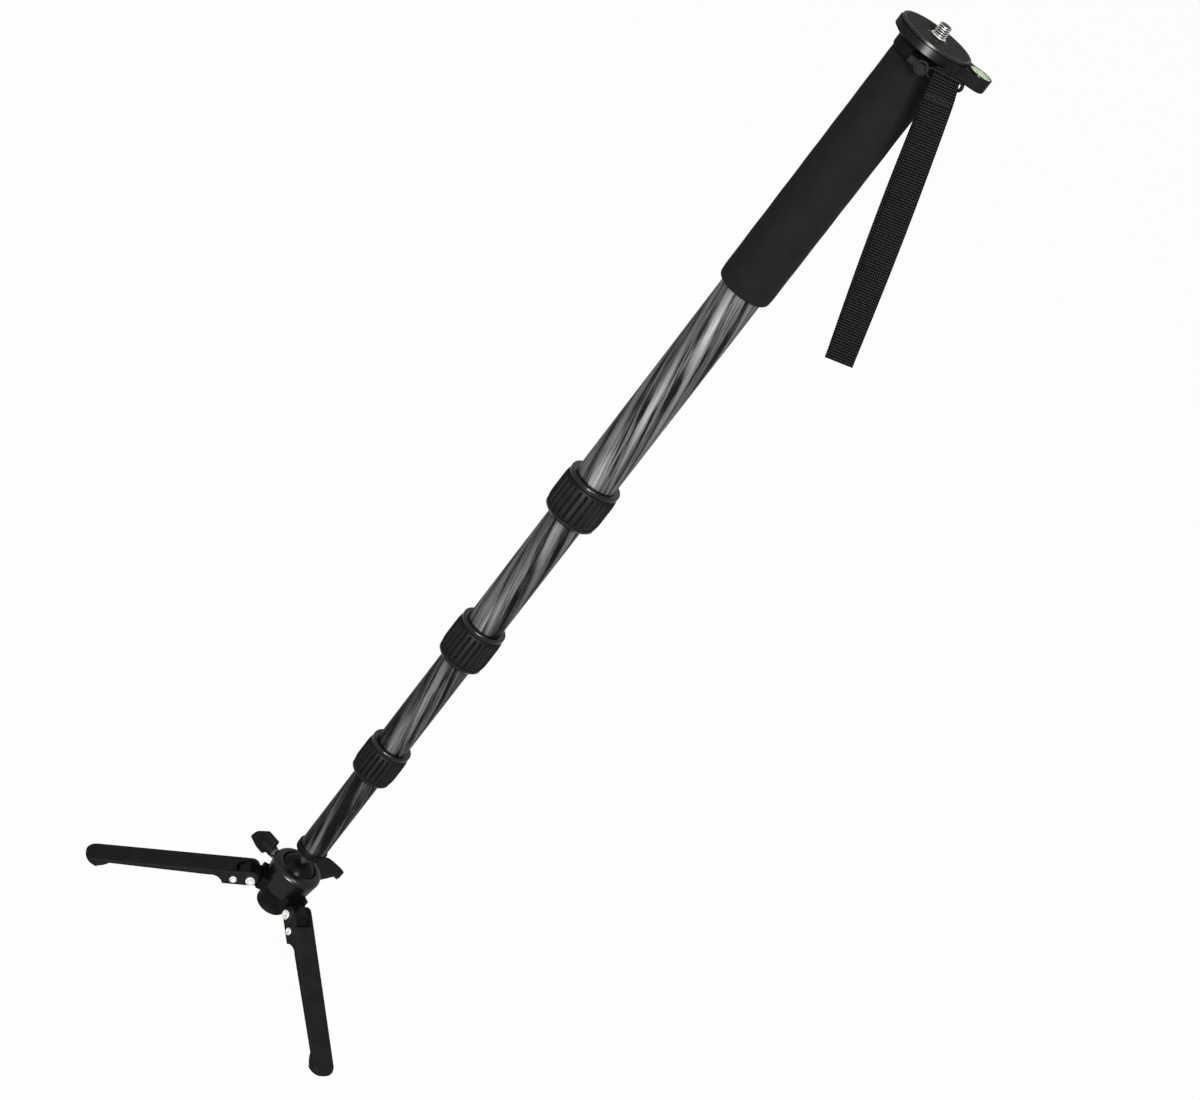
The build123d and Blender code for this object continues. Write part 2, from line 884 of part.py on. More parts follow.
# Collar and plug on the top tube
screw_z = platform_z - lug_screw_drop
front_view = Plane(origin=(0, 0, screw_z), x_dir=(1, 0, 0), z_dir=(0, -1, 0))
with BuildPart() as top_collar:
    ring(collar_radius, collar_z, platform_z - bond_gap)
    fillet(circles_at(top_collar.part, collar_radius, collar_z), radius=collar_fillet)
    ring(grip_bore, collar_z, platform_z, mode=Mode.SUBTRACT)
    bar(
        front_view,
        collar_radius - lug_screw_bite,
        lug_screw_bite + cut_over,
        lug_screw_radius + bond_gap,
        (lug_screw_x, 0),
        mode=Mode.SUBTRACT,
    )
top_collar.part.label = "top_collar"
export_step(top_collar.part, "parts/top_collar.step")

plug_top = platform_z - bond_gap
with BuildPart() as top_plug:
    ring(tube_radii[0], tube_high[0] + bond_gap, plug_top)
    ring(
        tube_radii[0] - tube_wall - bond_gap,
        tube_high[0] - top_plug_height,
        tube_high[0] + bond_gap,
    )
    ring(stud_shank + bond_gap, plug_top - stud_in_plug - bond_gap, plug_top, mode=Mode.SUBTRACT)
top_plug.part.label = "top_plug"
export_step(top_plug.part, "parts/top_plug.step")

# Platform with the tab of the level
grub_first = grub_azimuth
plate_top = disc_z - bond_gap
with BuildPart() as mount_plate:
    with BuildSketch(Plane.XY.offset(platform_z)):
        make_hull(
            [
                *Circle(tab_root_radius, mode=Mode.PRIVATE).edges(),
                *(Location((tab_reach, 0)) * Circle(cup_radius, mode=Mode.PRIVATE)).edges(),
            ]
        )
    extrude(amount=plate_top - platform_z)
    with BuildSketch(Plane.XY.offset(plate_top)):
        with Locations((tab_reach, 0)):
            Circle(cup_radius)
    extrude(amount=cup_raise)
    low_edges = [e for e in mount_plate.edges() if abs(e.center().Z - platform_z) < bond_gap]
    fillet(low_edges, radius=tab_fillet)
    turned(
        [
            (0, platform_z),
            (collar_radius, platform_z),
            (platform_radius, platform_z + platform_cone_height),
            (platform_radius, plate_top),
            (0, plate_top),
        ]
    )
    with BuildSketch(Plane.XY.offset(plate_top + cup_raise)) as cup_bore:
        with Locations((tab_reach, 0)):
            Circle(cup_radius - cup_wall)
    extrude(cup_bore.sketch, amount=-cup_depth, mode=Mode.SUBTRACT)
    with BuildSketch(Plane.XY.offset(plate_top)) as disc_clearance:
        Circle(disc_radius + seat_gap)
    extrude(disc_clearance.sketch, amount=cup_raise, mode=Mode.SUBTRACT)
    ring(stud_shank + bond_gap, platform_z, plate_top, mode=Mode.SUBTRACT)
    with BuildSketch(Plane.XY.offset(plate_top - grub_in_plate)) as grub_holes:
        with PolarLocations(grub_circle, grub_count, start_angle=grub_first):
            Circle(grub_radius + bond_gap)
    extrude(grub_holes.sketch, amount=grub_in_plate, mode=Mode.SUBTRACT)
mount_plate.part.label = "mount_plate"
export_step(mount_plate.part, "parts/mount_plate.step")

# Disc that the camera sits on, with its pad
insert_bore = insert_radius + bond_gap
with BuildPart() as camera_plate:
    ring(disc_neck_radius, disc_z, disc_z + disc_neck_height)
    ring(disc_radius, disc_z + disc_neck_height, top_z)
    fillet(circles_at(camera_plate.part, disc_radius, top_z), radius=disc_fillet)
    ring(pad_radius + bond_gap, top_z - pad_depth, top_z, insert_radius, mode=Mode.SUBTRACT)
    ring(stud_shank + bond_gap, disc_z, top_z, mode=Mode.SUBTRACT)
    with BuildSketch(Plane.XY.offset(disc_z)) as grub_holes:
        with PolarLocations(grub_circle, grub_count, start_angle=grub_first):
            Circle(grub_radius + bond_gap)
    extrude(grub_holes.sketch, amount=top_z - disc_z, mode=Mode.SUBTRACT)
camera_plate.part.label = "camera_plate"
export_step(camera_plate.part, "parts/camera_plate.step")

with BuildPart() as camera_pad:
    pad_z = top_z - pad_depth + bond_gap
    ring(pad_radius, pad_z, pad_top_z, insert_bore)
    with BuildSketch(Plane.XY.offset(pad_z)) as grub_holes:
        with PolarLocations(grub_circle, grub_count, start_angle=grub_first):
            Circle(grub_radius + bond_gap)
    extrude(grub_holes.sketch, amount=pad_top_z - pad_z, mode=Mode.SUBTRACT)
camera_pad.part.label = "camera_pad"
export_step(camera_pad.part, "parts/camera_pad.step")

with BuildPart() as plate_screws:
    grub_top = pad_top_z - grub_below_pad
    with BuildSketch(Plane.XY.offset(disc_z - grub_in_plate)) as grubs:
        with PolarLocations(grub_circle, grub_count, start_angle=grub_first):
            Circle(grub_radius)
    extrude(grubs.sketch, amount=grub_top - disc_z + grub_in_plate)
    with BuildSketch(Plane.XY.offset(grub_top)) as sockets:
        with PolarLocations(grub_circle, grub_count, start_angle=grub_first):
            RegularPolygon(grub_socket_radius, 6)
    extrude(sockets.sketch, amount=-grub_socket_depth, mode=Mode.SUBTRACT)
plate_screws.part.label = "plate_screws"
export_step(plate_screws.part, "parts/plate_screws.step")

with BuildPart() as camera_stud:
    flange_top = top_z + bond_gap + stud_flange_height
    ring(stud_shank, platform_z - stud_in_plug, top_z + bond_gap)
    ring(stud_flange_radius, top_z + bond_gap, flange_top)
    ring(stud_radius, flange_top, pad_top_z + stud_height)
    chamfer(
        circles_at(camera_stud.part, stud_radius, pad_top_z + stud_height),
        length=stud_tip_chamfer,
    )
camera_stud.part.label = "camera_stud"
export_step(camera_stud.part, "parts/camera_stud.step")

# Round level in the tab
cup_floor = plate_top + cup_raise - cup_depth
vial_radius = cup_radius - cup_wall - bond_gap
level_axis = Plane(origin=(tab_reach, 0, 0))
with BuildPart() as level_vial:
    bar(level_axis, cup_floor + bond_gap, vial_height - bond_gap, vial_radius)
level_vial.part.label = "level_vial"
export_step(level_vial.part, "parts/level_vial.step")

bezel_z = cup_floor + vial_height + bond_gap
with BuildPart() as level_bezel:
    bar(level_axis, bezel_z, bezel_height, vial_radius)
    bar(level_axis, bezel_z, bezel_height, vial_radius - bezel_width, mode=Mode.SUBTRACT)
level_bezel.part.label = "level_bezel"
export_step(level_bezel.part, "parts/level_bezel.step")

with BuildPart() as level_lens:
    bar(level_axis, bezel_z, bezel_height + lens_rise, vial_radius - bezel_width - bond_gap)
    fillet(level_lens.edges().group_by(Axis.Z)[-1], radius=lens_fillet)
level_lens.part.label = "level_lens"
export_step(level_lens.part, "parts/level_lens.step")

# Block and screw that carry the strap's ring
block_low = collar_z + lug_block_low
block_high = platform_z - lug_block_high
with BuildPart() as strap_lug:
    with BuildSketch(front_view):
        with BuildLine():
            Polyline(
                (-lug_block_left, block_low - screw_z),
                (lug_block_right, block_low - screw_z),
                (lug_block_right, block_high - screw_z),
                (-lug_block_left, block_high - screw_z),
                close=True,
            )
        make_face()
    extrude(amount=lug_block_front)
    fillet(strap_lug.edges().group_by(Axis.Y)[0], radius=lug_block_fillet)
    ring(collar_radius + bond_gap, block_low, block_high, mode=Mode.SUBTRACT)
    bar(
        front_view,
        0,
        lug_block_front + cut_over,
        lug_screw_radius + bond_gap,
        (lug_screw_x, 0),
        mode=Mode.SUBTRACT,
    )
strap_lug.part.label = "strap_lug"
export_step(strap_lug.part, "parts/strap_lug.step")

eyelet_start = lug_block_front + run_gap
head_start = eyelet_start + eyelet_thickness + run_gap
with BuildPart() as lug_screw:
    screw_tip = collar_radius - lug_screw_bite
    bar(front_view, screw_tip, head_start - screw_tip, lug_screw_radius, (lug_screw_x, 0))
    with BuildSketch(front_view.offset(head_start)) as hexagon:
        with Locations((lug_screw_x, 0)):
            RegularPolygon(lug_screw_head_radius, 6)
    extrude(hexagon.sketch, amount=lug_screw_head_height)
lug_screw.part.label = "lug_screw"
export_step(lug_screw.part, "parts/lug_screw.step")

# Ring that swings on the screw: an eyelet with an oblong loop of wire
tilt = math.radians(ring_tilt)
ring_y = -(eyelet_start + eyelet_thickness / 2)
ring_view = Plane(
    origin=(lug_screw_x, ring_y, screw_z),
    x_dir=(math.cos(tilt), 0, math.sin(tilt)),
    z_dir=(0, -1, 0),
)
with BuildPart() as strap_ring:
    with BuildLine(ring_view) as ring_path:
        FilletPolyline(
            (ring_start, ring_half_height),
            (ring_start, -ring_half_height),
            (ring_reach, -ring_half_height),
            (ring_reach, ring_half_height),
            radius=ring_corner,
            close=True,
        )
    wire = ring_path.wires()[0]
    with BuildSketch(Plane(origin=wire @ 0, z_dir=wire % 0)) as wire_section:
        Circle(ring_wire_radius)
    sweep(wire_section.sketch, path=wire)
    bar(ring_view, -eyelet_thickness / 2, eyelet_thickness, eyelet_radius)
    bar(
        ring_view,
        -eyelet_thickness,
        eyelet_thickness + eyelet_thickness,
        lug_screw_radius + run_gap,
        mode=Mode.SUBTRACT,
    )
strap_ring.part.label = "strap_ring"
export_step(strap_ring.part, "parts/strap_ring.step")

# Wrist strap: a roll of webbing round the ring's upper bar, and the two layers that hang from it
roll_radius = ring_wire_radius + strap_roll_gap
lean = math.radians(strap_lean)
strap_back = ring_wire_radius + strap_roll_gap
strap_end = strap_on_ring_start + strap_on_ring
hang = Vector(math.sin(lean - tilt), -math.cos(lean - tilt))
across = Vector(math.cos(lean - tilt), math.sin(lean - tilt))
flare = (strap_width / math.cos(lean - tilt) - strap_on_ring) / 2
top_left = Vector(strap_on_ring_start, ring_half_height)
top_right = Vector(strap_end, ring_half_height)
wide_left = top_left + hang * strap_flare - Vector(flare, 0)
wide_right = top_right + hang * strap_flare + Vector(flare, 0)
with BuildPart() as wrist_strap:
    roll_axis = Plane(
        origin=ring_view.from_local_coords((strap_on_ring_start, ring_half_height)),
        z_dir=ring_view.x_dir,
    )
    with BuildSketch(roll_axis) as roll:
        Circle(roll_radius + strap_layer)
        Circle(roll_radius, mode=Mode.SUBTRACT)
    extrude(roll.sketch, amount=strap_on_ring)
    with BuildSketch(ring_view.offset(strap_back)) as layers:
        with BuildLine():
            Polyline(
                top_left,
                wide_left,
                top_left + hang * strap_length - Vector(flare, 0),
                top_left + hang * strap_length - Vector(flare, 0) + across * strap_width,
                wide_right,
                top_right,
                close=True,
            )
        make_face()
    extrude(layers.sketch, amount=strap_layer + strap_layer)
wrist_strap.part.label = "wrist_strap"
export_step(wrist_strap.part, "parts/wrist_strap.step")
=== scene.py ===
"""Camera monopod with a three-legged base: surfaces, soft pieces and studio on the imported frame."""

import math

import bmesh
import bpy
from bpy.props import (
    FloatProperty,
    FloatVectorProperty,
    IntProperty,
    PointerProperty,
)
from mathutils import Matrix, Vector


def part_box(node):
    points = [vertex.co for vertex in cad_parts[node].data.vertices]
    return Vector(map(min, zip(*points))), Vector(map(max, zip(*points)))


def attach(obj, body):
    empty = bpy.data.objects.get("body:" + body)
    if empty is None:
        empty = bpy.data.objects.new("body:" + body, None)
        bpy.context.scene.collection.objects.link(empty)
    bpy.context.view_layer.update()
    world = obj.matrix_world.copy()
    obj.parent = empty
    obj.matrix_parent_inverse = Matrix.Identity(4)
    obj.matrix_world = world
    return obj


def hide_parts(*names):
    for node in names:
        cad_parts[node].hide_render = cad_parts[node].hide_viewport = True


bl_info = {
    "name": "Camera Monopod",
    "version": (1, 0, 0),
    "blender": (4, 5, 0),
    "location": "View3D > Sidebar > Monopod",
    "description": "Surfaces, grip, strap and studio of a camera monopod on a three-legged base",
    "category": "Object",
}

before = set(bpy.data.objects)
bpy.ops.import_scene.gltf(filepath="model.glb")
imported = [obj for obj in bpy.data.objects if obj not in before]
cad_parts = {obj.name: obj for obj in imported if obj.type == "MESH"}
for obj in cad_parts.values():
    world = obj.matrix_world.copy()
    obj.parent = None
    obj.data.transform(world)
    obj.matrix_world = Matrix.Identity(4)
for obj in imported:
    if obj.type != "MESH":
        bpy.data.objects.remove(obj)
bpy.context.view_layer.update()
MM = 0.001


# Settings ---------------------------------------------------------------------------------


def colour(name, description, default):
    return FloatVectorProperty(
        name=name, description=description, subtype="COLOR", size=3, min=0, max=1, default=default
    )


def length(name, description, default):
    return FloatProperty(
        name=name, description=description, subtype="DISTANCE", unit="LENGTH", default=default
    )


class MonopodFinishes(bpy.types.PropertyGroup):
    """Colours of the surfaces."""

    carbon_dark: colour("Carbon, dark", "Dark fibre streaks of the tubes", (0.005, 0.0051, 0.0054))
    carbon_light: colour("Carbon, light", "Light fibre streaks of the tubes", (0.175, 0.177, 0.181))
    casting: colour(
        "Castings", "Satin black of the housing, hub and platform", (0.0044, 0.0044, 0.0047)
    )
    leg_paint: colour("Leg paint", "Matt black of the folding legs", (0.0178, 0.0178, 0.0182))
    rubber: colour("Rubber", "Ribbed rubber of the locks, cap and soles", (0.0058, 0.0058, 0.0061))
    foam: colour("Foam", "Closed-cell foam of the handle", (0.0105, 0.0105, 0.0108))
    webbing: colour("Webbing", "Woven wrist strap", (0.0072, 0.0072, 0.0076))
    nickel: colour("Nickel", "Bright plated screws and pins", (0.78, 0.77, 0.75))
    platform_pad: colour(
        "Platform pad", "Friction pad of the camera platform", (0.034, 0.034, 0.035)
    )
    level_fluid: colour("Level fluid", "Fluid of the round level", (0.52, 0.80, 0.22))


class MonopodSizes(bpy.types.PropertyGroup):
    """Sizes of the pieces made here."""

    thread_pitch: length("Thread pitch", "Pitch of the camera screw", 1.5875 * MM)
    thread_depth: length("Thread depth", "Depth of the camera screw's thread", 0.95 * MM)
    rib_count: IntProperty(
        name="Lock ribs", description="Ribs round each lock's rubber", default=24, min=8, max=60
    )
    rib_depth: length("Rib depth", "Depth of the grooves between the ribs", 1.5 * MM)
    barrel_step: length("Barrel step", "How far the rubber narrows towards its ends", 0.85 * MM)
    strap_width: length("Strap width", "Width of the webbing", 20.0 * MM)
    strap_layer: length("Webbing thickness", "Thickness of one layer of webbing", 1.15 * MM)
    strap_lean: FloatProperty(
        name="Strap lean",
        description="Lean of the hanging strap",
        subtype="ANGLE",
        default=math.radians(17),
    )
    rib_pitch: length("Weave pitch", "Distance between the webbing's cross ribs", 1.9 * MM)


class MonopodStudio(bpy.types.PropertyGroup):
    """Camera and lights."""

    lens: FloatProperty(name="Lens", description="Focal length", default=83.64)
    camera_place: FloatVectorProperty(
        name="Camera place", description="Place of the camera", default=(0.0324, -1.8016, 1.2823)
    )
    key_power: FloatProperty(name="Key light", description="Power of the key light", default=64.0)
    fill_power: FloatProperty(name="Fill light", description="Power of the fill light", default=5.0)
    band_power: FloatProperty(
        name="Band light",
        description="Power of the low light that only shows in glossy surfaces",
        default=140.0,
    )
    world_level: FloatProperty(
        name="World", description="Strength of the light that the surround gives", default=0.05
    )


# Materials --------------------------------------------------------------------------------


def scaled(shade, share):
    """The colour made darker or brighter."""
    return tuple(min(1.0, c * share) for c in shade)


class Shader:
    """A material's node tree, with a short way to add and join nodes."""

    INPUTS = {
        "color": "Base Color",
        "metallic": "Metallic",
        "roughness": "Roughness",
        "normal": "Normal",
        "coat": "Coat Weight",
        "coat_roughness": "Coat Roughness",
        "specular": "Specular IOR Level",
        "alpha": "Alpha",
        "sheen": "Sheen Weight",
        "sheen_roughness": "Sheen Roughness",
    }

    def __init__(self, name):
        old = bpy.data.materials.get(name)
        if old:
            bpy.data.materials.remove(old)
        self.material = bpy.data.materials.new(name)
        self.material.use_nodes = True
        self.tree = self.material.node_tree
        self.surface = self.tree.nodes["Principled BSDF"]

    def add(self, kind, inputs=None, **settings):
        node = self.tree.nodes.new("ShaderNode" + kind)
        for key, value in settings.items():
            setattr(node, key, value)
        for key, value in (inputs or {}).items():
            self.put(node, key, value)
        return node

    def put(self, node, key, value):
        socket = node.inputs[key]
        if isinstance(value, bpy.types.NodeSocket):
            self.tree.links.new(value, socket)
        elif socket.type == "RGBA":
            socket.default_value = (*value, 1)
        else:
            socket.default_value = value

    def math(self, operation, a, b=0.0):
        return self.add("Math", {0: a, 1: b}, operation=operation).outputs[0]

    def spread(self, factor, amount, base):
        """The factor, brought to a range of this amount above the base."""
        return self.math("ADD", self.math("MULTIPLY", factor, amount), base)

    def ramp(self, factor, stops):
        node = self.add("ValToRGB", {"Fac": factor})
        elements = node.color_ramp.elements
        while len(elements) < len(stops):
            elements.new(0.5)
        for element, (place, value) in zip(elements, stops):
            element.position = place
            element.color = (*value, 1)
        return node.outputs[0]

    def mottled(self, factor, shade, *stops):
        """The shade, scaled by each stop's share (place of the factor, share)."""
        return self.ramp(factor, [(place, scaled(shade, share)) for place, share in stops])

    def noise(self, vector, scale, detail=3.0, roughness=0.55):
        node = self.add(
            "TexNoise",
            {"Vector": vector, "Scale": scale, "Detail": detail, "Roughness": roughness},
        )
        return node.outputs["Fac"]

    def bump(self, height, strength, distance, normal=None):
        node = self.add("Bump", {"Height": height, "Strength": strength, "Distance": distance})
        if normal:
            self.put(node, "Normal", normal)
        return node.outputs["Normal"]

    def place(self):
        return self.add("TexCoord").outputs["Object"]

    def seen(self):
        """One for camera, glossy and transmission rays, zero for the rest."""
        path = self.add("LightPath")
        mirrored = self.math(
            "MAXIMUM", path.outputs["Is Glossy Ray"], path.outputs["Is Transmission Ray"]
        )
        return self.math("MAXIMUM", path.outputs["Is Camera Ray"], mirrored)

    def painted_groove_shade(self, color, inner, outer, floor):
        """Painted shade in grooves: the colour, dimmed to the floor's share at the inner radius round
        the pole's axis.
        """
        part = self.add("SeparateXYZ", {"Vector": self.place()})
        square = self.math(
            "ADD",
            self.math("MULTIPLY", part.outputs["X"], part.outputs["X"]),
            self.math("MULTIPLY", part.outputs["Y"], part.outputs["Y"]),
        )
        rise = self.math("SUBTRACT", self.math("SQRT", square), inner)
        share = self.math("DIVIDE", rise, outer - inner)
        dim = self.ramp(share, [(0.0, (floor, floor, floor)), (1.0, (1.0, 1.0, 1.0))])
        both = self.add("Mix", data_type="RGBA", blend_type="MULTIPLY")
        both.inputs["Factor"].default_value = 1.0
        first, second = [socket for socket in both.inputs if socket.type == "RGBA"]
        self.tree.links.new(color, first)
        self.tree.links.new(dim, second)
        return next(socket for socket in both.outputs if socket.type == "RGBA")

    def set(self, **values):
        for key, value in values.items():
            self.put(self.surface, self.INPUTS[key], value)
        return self.material


def carbon_tube(name, radius, looks, depth):
    """Lacquered carbon: long fibre streaks that wind round the tube at about ten degrees.

    A depth below one darkens the streaks and makes the light ones rarer: painted shade, which makes
    the lower tubes darker copies of the same carbon.
    """
    winding = 0.176  # tangent of the winding angle
    stretch = 0.035  # how much slower the pattern changes along the tube than round it
    wide_share, fine_share = 0.62, 0.38
    shift = 0.1 * (1 - depth)
    dark, light = looks.carbon_dark, looks.carbon_light
    middle = [0.6 * a + 0.4 * b for a, b in zip(dark, light)]

    s = Shader(name)
    part = s.add("SeparateXYZ", {"Vector": s.place()})
    angle = s.math("ARCTAN2", part.outputs["Y"], part.outputs["X"])
    turn = s.math("ADD", angle, s.math("MULTIPLY", part.outputs["Z"], winding / radius))
    wound = s.add(
        "CombineXYZ",
        {
            "X": s.math("MULTIPLY", s.math("COSINE", turn), radius),
            "Y": s.math("MULTIPLY", s.math("SINE", turn), radius),
            "Z": s.math("MULTIPLY", part.outputs["Z"], stretch),
        },
    ).outputs[0]
    wide = s.noise(wound, 210.0, 2.0, 0.5)
    fine = s.noise(wound, 900.0, 3.0, 0.6)
    streaks = s.math(
        "ADD", s.math("MULTIPLY", wide, wide_share), s.math("MULTIPLY", fine, fine_share)
    )
    color = s.ramp(
        streaks,
        [
            (0.40 + 1.6 * shift, tuple(dark)),
            (0.47 + shift, scaled(middle, depth)),
            (0.585 + shift, scaled(light, depth)),
        ],
    )
    return s.set(
        color=color,
        roughness=s.spread(fine, 0.16, 0.48),
        metallic=0.36,
        specular=0.0,
        coat=0.08,
        coat_roughness=0.22,
        normal=s.bump(fine, 0.12, 0.0003),
    )


def satin_black(name, shade, roughness, gloss=0.12, coat_roughness=0.45):
    """Painted or anodised metal with a fine grain and faint wear in its gloss."""
    s = Shader(name)
    place = s.place()
    wear = s.noise(place, 90.0, 4.0, 0.6)
    return s.set(
        color=s.mottled(wear, shade, (0.35, 0.86), (0.68, 1.22)),
        roughness=s.spread(wear, 0.16, roughness - 0.08),
        specular=0.0,
        coat=gloss,
        coat_roughness=coat_roughness,
        normal=s.bump(s.noise(place, 1800.0, 2.0), 0.35, 0.00004),
    )


def bright_metal(name, shade, roughness, grooves=None):
    """Plated metal with fine turning marks and a little tarnish, and painted shade down in any
    grooves.
    """
    s = Shader(name)
    place = s.place()
    marks = s.noise(place, 2600.0, 3.0, 0.7)
    tarnish = s.noise(place, 260.0, 3.0)
    color = s.mottled(tarnish, shade, (0.3, 0.78), (0.62, 1.0))
    if grooves:
        color = s.painted_groove_shade(color, *grooves)
    return s.set(
        color=color,
        metallic=1.0,
        roughness=s.spread(marks, 0.16, roughness - 0.06),
        normal=s.bump(marks, 0.15, 0.00003),
    )


def soft_rubber(name, shade, roughness, gloss=0.1, grooves=None):
    """Rubber with a faint dust, and painted shade down in any grooves."""
    s = Shader(name)
    place = s.place()
    dust = s.noise(place, 140.0, 4.0, 0.65)
    color = s.mottled(dust, shade, (0.35, 0.82), (0.7, 1.3))
    if grooves:
        color = s.painted_groove_shade(color, *grooves)
    return s.set(
        color=color,
        roughness=s.spread(dust, 0.14, roughness - 0.07),
        specular=0.0,
        coat=gloss,
        coat_roughness=0.5,
        normal=s.bump(s.noise(place, 2400.0, 2.0), 0.4, 0.00006),
    )


def cell_foam(name, shade):
    """Closed-cell foam: fine pores over a faint mottling."""
    s = Shader(name)
    place = s.place()
    mottle = s.noise(place, 60.0, 3.0)
    cells = s.add("TexVoronoi", {"Vector": place, "Scale": 1500.0}).outputs["Distance"]
    dents = s.bump(s.noise(place, 420.0, 3.0), 0.25, 0.00012)
    return s.set(
        color=s.mottled(mottle, shade, (0.3, 0.88), (0.7, 1.14)),
        roughness=0.88,
        specular=0.05,
        sheen=0.02,
        sheen_roughness=0.5,
        normal=s.bump(cells, 0.30, 0.00012, dents),
    )


def webbing_weave(name, shade, pitch, width):
    """Ribbed webbing: cross ribs and the warp's fine lines, with painted shade in their valleys and
    painted highlight on their crests.
    """
    warp_lines = 13  # over the webbing's width
    s = Shader(name)
    uv = s.add("UVMap", uv_map="weave").outputs["UV"]
    part = s.add("SeparateXYZ", {"Vector": uv})
    along = s.math("MULTIPLY", part.outputs["Y"], 2 * math.pi / pitch)
    warp = s.math("MULTIPLY", part.outputs["X"], 2 * math.pi / (width / warp_lines))
    ribs = s.math("ABSOLUTE", s.math("SINE", s.math("MULTIPLY", along, 0.5)))
    threads = s.math("ABSOLUTE", s.math("SINE", s.math("MULTIPLY", warp, 0.5)))
    weave = s.math("MULTIPLY", s.math("POWER", ribs, 0.6), s.spread(threads, 0.42, 0.58))
    fuzz = s.noise(s.place(), 1600.0, 4.0, 0.7)
    height = s.math("ADD", weave, s.math("MULTIPLY", fuzz, 0.25))
    return s.set(
        # painted shade in the weave's valleys and painted highlight on its crests, by the height
        color=s.mottled(height, shade, (0.45, 0.08), (0.80, 0.7), (0.88, 1.6), (1.0, 4.5)),
        roughness=0.62,
        specular=0.03,
        sheen=0.005,
        normal=s.bump(height, 1.0, 0.0007),
    )


def level_fluid(name, shade):
    """The level's tinted fluid, and the rim that takes its colour."""
    s = Shader(name)
    swirl = s.noise(s.place(), 200.0, 2.0)
    color = s.mottled(swirl, shade, (0.3, 0.85), (0.7, 1.1))
    return s.set(color=color, roughness=0.12, coat=1.0, coat_roughness=0.05)


def clear_dome(name):
    """The level's clear cover."""
    s = Shader(name)
    haze = s.noise(s.place(), 700.0, 2.0)
    return s.set(
        color=(0.96, 0.98, 0.88),
        roughness=s.spread(haze, 0.05, 0.02),
        alpha=0.22,
        specular=0.6,
    )


def level_mark(name):
    """The level's printed ring."""
    s = Shader(name)
    grain = s.noise(s.place(), 400.0)
    return s.set(color=(0.02, 0.02, 0.02), roughness=s.math("ADD", grain, 0.1))


def level_bubble(name):
    """The level's pale bubble."""
    s = Shader(name)
    haze = s.noise(s.place(), 500.0)
    return s.set(color=(0.93, 0.95, 0.72), roughness=s.spread(haze, 0.1, 0.02), coat=1.0)


# Mesh helpers -----------------------------------------------------------------------------


def new_piece(name, mesh, material, body, replaces):
    obj = bpy.data.objects.new(name, mesh)
    bpy.context.scene.collection.objects.link(obj)
    mesh.materials.append(material)
    for face in mesh.polygons:
        face.use_smooth = True
    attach(obj, body)
    if replaces:
        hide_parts(*replaces)


def grid_mesh(name, rows, caps=True):
    """A mesh through rows of points, wrapped round, with its two ends closed or left open."""
    count = len(rows[0])
    points = [p for row in rows for p in row]
    faces = []
    for i in range(len(rows) - 1):
        a, b = i * count, (i + 1) * count
        for j in range(count):
            k = (j + 1) % count
            faces.append((a + j, a + k, b + k, b + j))
    if caps:
        faces.append(tuple(reversed(range(count))))
        last = (len(rows) - 1) * count
        faces.append(tuple(range(last, last + count)))
    mesh = bpy.data.meshes.new(name)
    mesh.from_pydata(points, [], faces)
    mesh.validate()
    mesh.update()
    return mesh


def closed_mesh(name, rows):
    """A closed body through rows of points that lead back to the first one."""
    mesh = grid_mesh(name, [*rows, rows[0]], caps=False)
    bm = bmesh.new()
    bm.from_mesh(mesh)
    bmesh.ops.remove_doubles(bm, verts=bm.verts, dist=1e-7)
    bmesh.ops.recalc_face_normals(bm, faces=bm.faces)
    bm.to_mesh(mesh)
    bm.free()
    return mesh


def ring_of(radius, height, count, centre=(0, 0)):
    """One row of points round an upright axis. The radius may depend on the angle."""
    row = []
    for j in range(count):
        a = 2 * math.pi * j / count
        r = radius(a) if callable(radius) else radius
        row.append((centre[0] + r * math.cos(a), centre[1] + r * math.sin(a), height))
    return row


def rounded_profile(corners):
    """Points of an open outline whose corners (radius, height, rounding) are rounded.

    The first and the last corner have no rounding.
    """
    steps = 8
    out = []
    for i, (r, z, fillet) in enumerate(corners):
        if fillet <= 0:
            out.append((r, z))
            continue
        p = Vector((r, z))
        a = (Vector(corners[i - 1][:2]) - p).normalized()
        b = (Vector(corners[i + 1][:2]) - p).normalized()
        for s in range(steps + 1):
            t = s / steps
            q = (1 - t) ** 2 * (p + a * fillet) + 2 * t * (1 - t) * p + t * t * (p + b * fillet)
            out.append((q.x, q.y))
    return out


def ease(x):
    """A soft step from 0 to 1."""
    return x * x * (3 - 2 * x)


# Operators --------------------------------------------------------------------------------


class SurfaceOperator:
    """What the operators share: the settings, and one finish for many nodes."""

    bl_options = {"REGISTER", "UNDO"}

    def looks(self, context):
        return context.scene.monopod_finishes

    def sizes(self, context):
        return context.scene.monopod_sizes

    def dress(self, material, *nodes):
        for node in nodes:
            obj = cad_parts[node]
            if not obj.material_slots:
                obj.data.materials.append(material)
            for slot in obj.material_slots:
                slot.material = material


